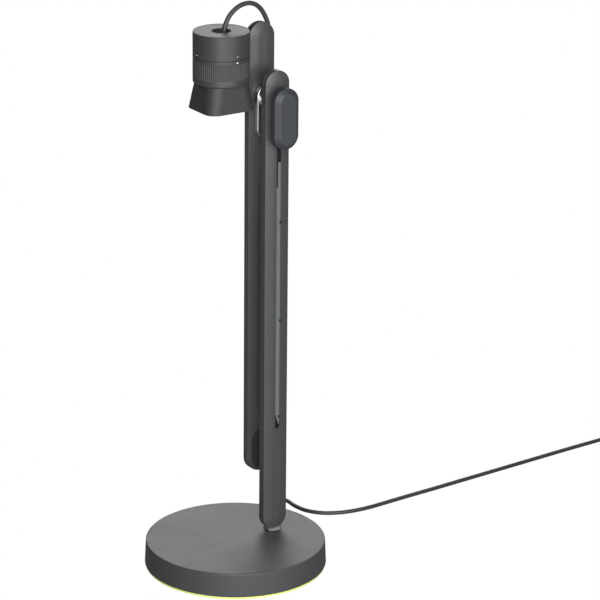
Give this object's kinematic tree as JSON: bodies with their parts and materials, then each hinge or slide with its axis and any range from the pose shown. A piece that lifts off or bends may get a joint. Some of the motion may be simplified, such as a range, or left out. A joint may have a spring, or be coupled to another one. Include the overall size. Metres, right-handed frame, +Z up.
{
  "type": "document camera",
  "caption": "Desk document camera: round weighted base, upright mast, arm that slides and swings on a carriage, and a camera head that stays level at the arm's end.",
  "frame": {"origin": "centre of the round base, on the table it stands on", "axes": "+Z up; -Y is the front, where the camera head hangs over the base; +X is the side with the hand grip and -X the side with the arm"},
  "size_m": [0.2053, 0.6873, 0.5626],
  "materials": {
    "graphite": "satin dark grey, fine grain",
    "graphite_head": "satin mid grey, fine grain",
    "soft_grip": "matt soft-touch dark grey",
    "chrome": "polished",
    "steel": "plain zinc-plated steel",
    "cast_iron": "raw casting, lightly oiled",
    "lime": "matt pale yellow-green elastomer",
    "rubber": "matt black",
    "nylon": "natural white, smooth",
    "black_plastic": "matt black",
    "rail_grey": "smooth mid grey",
    "cord_grey": "matt dark grey cable sheath",
    "lens_glass": "coated optical glass",
    "circuit_board": "green solder mask",
    "light_window": "milky white window"
  },
  "bodies": {
    "base": {"base_cover": "graphite", "floor_plate": "steel", "ballast": "cast_iron", "foot_ring": "lime", "swivel_bushing": "nylon", "cord_gland": "rubber", "base_screw_1": "steel", "base_screw_2": "steel", "base_screw_3": "steel", "usb_cord": "cord_grey", "usb_cord_coil": "cord_grey", "coil_tie": "rubber", "usb_plug_body": "cord_grey", "usb_plug_shell": "steel"},
    "mast": {"mast_shell_front": "graphite", "mast_shell_rear": "graphite", "swivel_collar": "chrome", "swivel_nut": "steel", "thrust_washer": "nylon", "slot_strip": "rail_grey", "strip_clip_1": "black_plastic", "strip_clip_2": "black_plastic", "strip_clip_3": "black_plastic", "mast_screw_1": "steel", "mast_screw_2": "steel"},
    "carriage": {"carriage_block": "black_plastic", "counter_spring": "steel", "glide_pad_front": "nylon", "glide_pad_rear": "nylon", "grip_base": "black_plastic", "grip_body": "soft_grip", "pivot_shaft": "chrome", "pivot_nut": "steel", "grip_screw_1": "steel", "grip_screw_2": "steel"},
    "runner": {"pivot_plate": "chrome", "arm_runner": "nylon"},
    "arm": {"arm_shell_front": "graphite", "arm_shell_rear": "graphite", "arm_end_pad": "rubber", "head_pivot_pin": "steel", "head_washer_inner": "nylon", "head_washer_outer": "nylon", "arm_cable": "cord_grey", "arm_screw_1": "steel", "arm_screw_2": "steel", "cable_loop": "cord_grey"},
    "head": {"head_housing": "graphite_head", "head_bracket": "steel", "cable_grommet": "rubber", "head_chassis": "black_plastic", "lens_barrel": "black_plastic", "front_lens": "lens_glass", "rear_lens": "lens_glass", "image_sensor": "black_plastic", "sensor_board": "circuit_board", "status_light": "light_window", "lens_hood": "graphite"},
    "zoom_ring": {"zoom_ring": "graphite_head", "zoom_index": "light_window"}
  },
  "joints": [
    {"name": "base_swivel", "type": "hinge", "parent": "base", "child": "mast", "pos_m": [0, 0.0434, 0.03], "axis": [0, 0, 1], "range_deg": [-170, 170]},
    {"name": "carriage_slide", "type": "slide", "parent": "mast", "child": "carriage", "axis": [0, 0, 1], "range_m": [-0.05, 0]},
    {"name": "arm_tilt", "type": "hinge", "parent": "carriage", "child": "runner", "pos_m": [-0.0192, 0.0434, 0.466], "axis": [1, 0, 0], "range_deg": [0, 100]},
    {"name": "arm_slide", "type": "slide", "parent": "runner", "child": "arm", "axis": [0, 0, 1], "range_m": [0, 0.27]},
    {"name": "head_tilt", "type": "hinge", "parent": "arm", "child": "head", "pos_m": [-0.0282, 0.0434, 0.5257], "axis": [1, 0, 0], "range_deg": [-100, 0], "deforming": ["cable_loop"]},
    {"name": "zoom_turn", "type": "hinge", "parent": "head", "child": "zoom_ring", "pos_m": [-0.0282, 0.0004, 0.5], "axis": [0, 0, 1], "range_deg": [-135, 135]}
  ],
  "couplings": [
    {"joint": "head_tilt", "follows": "arm_tilt", "ratio": -1}
  ]
}
